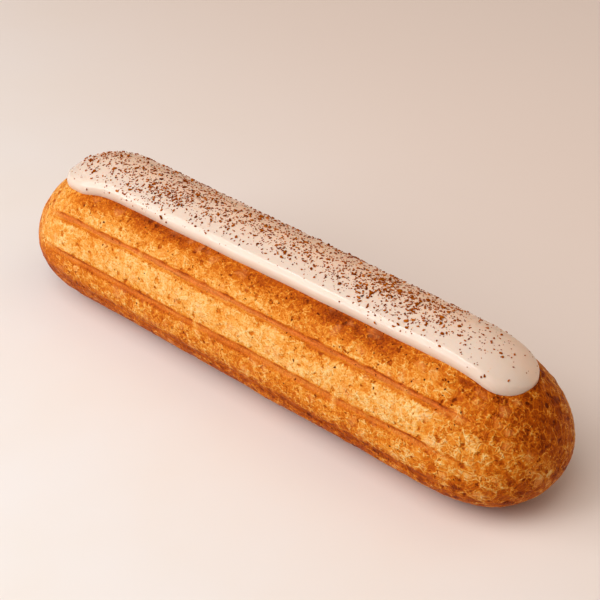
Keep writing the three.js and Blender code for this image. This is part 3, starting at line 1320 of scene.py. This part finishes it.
@dataclass
class GroundSpice:
    """Spice dusted over the icing, each grain a small uneven chip lying on it.

    Attributes:
        icing: The strip that it lies on.
        grains: Number of grains.
        median: Median diameter of a grain.
        spread: Spread of the sizes, as the standard deviation of their logarithm.
        limits: Smallest and largest diameter.
        stretch: Least and greatest length of a grain, as a share of its size.
        flatness: Least and greatest thickness of a grain, as a share of its size.
        jaggedness: Least and greatest reach of a corner, as a share of the smooth grain's.
        lift: Height of a grain's middle over the icing, as a share of half its thickness.
        bark: Mean and spread of the grains' darkness.
        tries: Places tried for each grain.
        clear: How far grains keep off the first tip and the last.
        across: How far out they lie, where 1 is the icing's edge.
        strays: Dusting added everywhere, so that a few grains stray.
        seed: Picks the scatter.
    """

    icing: IcingStrip
    grains: int = 4500
    median: float = 0.285
    spread: float = 0.42
    limits: tuple[float, float] = (0.13, 0.9)
    stretch: tuple[float, float] = (1.0, 1.8)
    flatness: tuple[float, float] = (0.45, 0.9)
    jaggedness: tuple[float, float] = (0.7, 1.2)
    lift: float = 0.35
    bark: tuple[float, float] = (0.45, 0.26)
    tries: int = 12
    clear: tuple[float, float] = (1.0, 0.6)
    across: float = 0.97
    strays: float = 0.015
    seed: int = 5

    def scatter(self, random: np.random.Generator) -> tuple[Array, Array]:
        """Picks places on the icing, as often as the dusting asks.

        Args:
            random: Source of chance.

        Returns:
            X and across of each grain.
        """
        tries = self.grains * self.tries
        x = random.uniform(self.icing.start + self.clear[0], self.icing.stop - self.clear[1], tries)
        across = random.uniform(-self.across, self.across, tries)
        wanted = self.icing.dusting(x, across) + self.strays
        kept = np.flatnonzero(random.uniform(0.0, 1.0, tries) < wanted)[: self.grains]
        return x[kept], across[kept]

    def build(self) -> bpy.types.Object:
        """Builds all grains as one mesh.

        A grain is an icosahedron with each corner pushed in or out, stretched along one direction
        of the surface and flattened against it.

        Returns:
            The spice.
        """
        random = np.random.default_rng(self.seed)
        x, across = self.scatter(random)
        count = len(x)
        step = 0.02
        seat = self.icing.top(x, across)
        along = self.icing.top(x + step, across) - seat
        beside = self.icing.top(x, across + step * 0.1) - seat
        normal = np.cross(along, beside)
        normal /= np.linalg.norm(normal, axis=1, keepdims=True)
        normal *= np.sign(normal[:, 2:])
        heading = random.uniform(0.0, 2 * np.pi, count)[:, None]
        along /= np.linalg.norm(along, axis=1, keepdims=True)
        beside = np.cross(normal, along)
        first = along * np.cos(heading) + beside * np.sin(heading)
        second = np.cross(normal, first)
        size = np.clip(self.median * np.exp(self.spread * random.standard_normal(count)), *self.limits) / 2
        stretch = random.uniform(*self.stretch, count)
        reach = np.stack([size * stretch, size, size * random.uniform(*self.flatness, count)], axis=-1)
        corners, faces = icosahedron()
        jagged = corners[None] * random.uniform(*self.jaggedness, (count, len(corners), 1))
        axes = np.stack([first, second, normal], axis=1)
        middle = seat + normal * reach[:, 2:] * self.lift
        points = np.einsum("gck,gkd->gcd", jagged * reach[:, None], axes) + middle[:, None]
        numbers = faces[None] + np.arange(count)[:, None, None] * len(corners)
        bark = np.repeat(np.clip(random.normal(*self.bark, count), 0.0, 1.0), len(corners))
        faces = numbers.reshape(-1, 3).tolist()
        piece = new_piece("ground_spice", points.reshape(-1, 3), faces, {"bark": bark})
        piece.data.polygons.foreach_set("use_smooth", np.zeros(len(piece.data.polygons), dtype=bool))
        return piece

    def dress(self, piece: bpy.types.Object) -> None:
        """Gives the spice its finish and its place in the frame."""
        piece.data.materials.append(SpiceFinish().material())
        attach(piece, "root")


def icosahedron() -> tuple[Array, Array]:
    """The twelve corners, one from the centre, and the twenty faces of an icosahedron.

    The corners are the cyclic shifts of (0, +-1, +-golden ratio). A face is any three corners that
    lie one edge apart, turned so that it looks outwards.

    Returns:
        Corners, shape (12, 3), and faces, shape (20, 3).
    """
    golden = (1 + math.sqrt(5)) / 2
    signs = list(itertools.product((-1, 1), repeat=2))
    corners = np.array([np.roll((0.0, a, b * golden), shift) for shift in range(3) for a, b in signs])
    triples = np.array(list(itertools.combinations(range(12), 3)))
    sides = np.linalg.norm(corners[triples] - corners[np.roll(triples, 1, axis=1)], axis=-1)
    faces = triples[np.all(sides < 2.1, axis=1)]
    a, b, c = (corners[faces[:, k]] for k in range(3))
    inward = np.einsum("ij,ij->i", np.cross(b - a, c - a), a + b + c) < 0
    faces[inward] = faces[inward][:, ::-1]
    return corners / np.linalg.norm(corners[0]), faces


@dataclass(frozen=True)
class SoftBox:
    """A rectangular light that faces the eclair.

    Attributes:
        name: Name of the light.
        toward: Direction from the eclair to the light.
        distance: Distance of the light.
        size: Width and height of the light.
        power: Power in watts.
        colour: Colour of the light.
        mirrored: Whether it is only seen mirrored in glossy surfaces, and otherwise never.
    """

    name: str
    toward: tuple[float, float, float]
    distance: float
    size: tuple[float, float]
    power: float
    colour: Colour
    mirrored: bool = False

    def build(self) -> None:
        """Adds the light to the scene."""
        data = bpy.data.lights.new(self.name, "AREA")
        data.shape = "RECTANGLE"
        data.size, data.size_y = (side * MM for side in self.size)
        data.energy = self.power
        data.color = self.colour
        light = bpy.data.objects.new(self.name, data)
        direction = Vector(self.toward).normalized()
        light.location = direction * self.distance * MM
        light.rotation_euler = direction.to_track_quat("Z", "Y").to_euler()
        light.visible_glossy, light.visible_diffuse = self.mirrored, not self.mirrored
        bpy.context.scene.collection.objects.link(light)


@dataclass(frozen=True)
class Studio:
    """Table, lights and camera.

    Attributes:
        azimuth: Degrees that the camera is turned from looking along +Y.
        elevation: Degrees that it looks down.
        distance: From the camera to the point it turns about.
        turning_point: That point.
        pan: How far to the right and up of it the camera aims.
        lens: Focal length.
        sensor: Width of the sensor that the focal length goes with.
        table_radius: Radius of the table top.
        table_sides: Straight sides of its rim.
        boxes: The lights: a low window on the left, its panes as glossy surfaces mirror them, a
            wide light over the front, and a warm one high behind the +X end.
        room: Colour of the room's even light.
        room_strength: Strength of the room's even light.
    """

    azimuth: float = 42.35
    elevation: float = 35.0
    distance: float = 339.8
    turning_point: tuple[float, float, float] = (0.0, 0.0, 18.0)
    pan: tuple[float, float] = (4.17, 1.4)
    lens: float = 90.0
    sensor: float = 36.0
    table_radius: float = 3000.0
    table_sides: int = 96
    boxes: tuple[SoftBox, ...] = (
        SoftBox("window", (-0.50, -0.70, 0.512), 700.0, (540.0, 560.0), 3.95, (0.97, 0.985, 1.0)),
        SoftBox("panes", (-0.50, -0.70, 0.512), 700.0, (580.0, 800.0), 9.4, (0.97, 0.985, 1.0), True),
        SoftBox("overhead", (0.03, -0.44, 0.898), 900.0, (640.0, 640.0), 4.2, (1.0, 0.985, 0.955)),
        SoftBox("fill", (0.46, 0.36, 0.81), 800.0, (800.0, 800.0), 1.3, (1.0, 0.88, 0.76)),
    )
    room: Colour = (1.0, 0.82, 0.66)
    room_strength: float = 0.22

    def view_axes(self) -> tuple[Vector, Vector, Vector]:
        """Directions to the right, upwards and back towards the camera."""
        turn, tilt = math.radians(self.azimuth), math.radians(self.elevation)
        right = Vector((math.cos(turn), math.sin(turn), 0.0))
        back = Vector((math.sin(turn) * math.cos(tilt), -math.cos(turn) * math.cos(tilt), math.sin(tilt)))
        return right, back.cross(right), back

    def add_camera(self) -> None:
        """Adds the camera and makes it the scene's."""
        right, up, back = self.view_axes()
        centre = Vector(self.turning_point)
        place = (centre + back * self.distance) * MM
        aim = (centre + right * self.pan[0] + up * self.pan[1]) * MM
        data = bpy.data.cameras.new("camera")
        data.lens = self.lens
        data.sensor_width = self.sensor
        data.clip_start = 0.01
        camera = bpy.data.objects.new("camera", data)
        camera.location = place
        camera.rotation_euler = (aim - place).to_track_quat("-Z", "Y").to_euler()
        bpy.context.scene.collection.objects.link(camera)
        bpy.context.scene.camera = camera

    def add_table(self) -> None:
        """Adds the table top, a wide flat disc just under the base."""
        turn = np.linspace(0.0, 2 * np.pi, self.table_sides, endpoint=False)
        rim = on_plane(np.cos(turn), np.sin(turn)) * self.table_radius
        table = new_piece("table", rim, [list(range(self.table_sides))], {})
        table.data.materials.append(TableFinish().material())

    def add_room(self) -> None:
        """Adds the even light of the room, and shows colours by the plain screen curve."""
        world = bpy.data.worlds.new("room")
        world.use_nodes = True
        backdrop = world.node_tree.nodes["Background"]
        backdrop.inputs["Color"].default_value = (*self.room, 1.0)
        backdrop.inputs["Strength"].default_value = self.room_strength
        bpy.context.scene.world = world
        bpy.context.scene.view_settings.view_transform = "Standard"

    def build(self) -> None:
        """Adds everything."""
        self.add_camera()
        self.add_table()
        for box in self.boxes:
            box.build()
        self.add_room()


def main() -> None:
    """Builds the studio and each part of the eclair, and reports every piece."""
    logging.basicConfig(level=logging.INFO, format="%(name)s: %(message)s")
    Finish.effects = Effects()
    Studio().build()
    shell = ChouxShell()
    icing = IcingStrip(form=shell.form)
    for part in (shell, icing, GroundSpice(icing)):
        piece = part.build()
        part.dress(piece)
        log.info("%s: %d points, %d faces", piece.name, len(piece.data.vertices), len(piece.data.polygons))


if __name__ == "__main__":
    main()
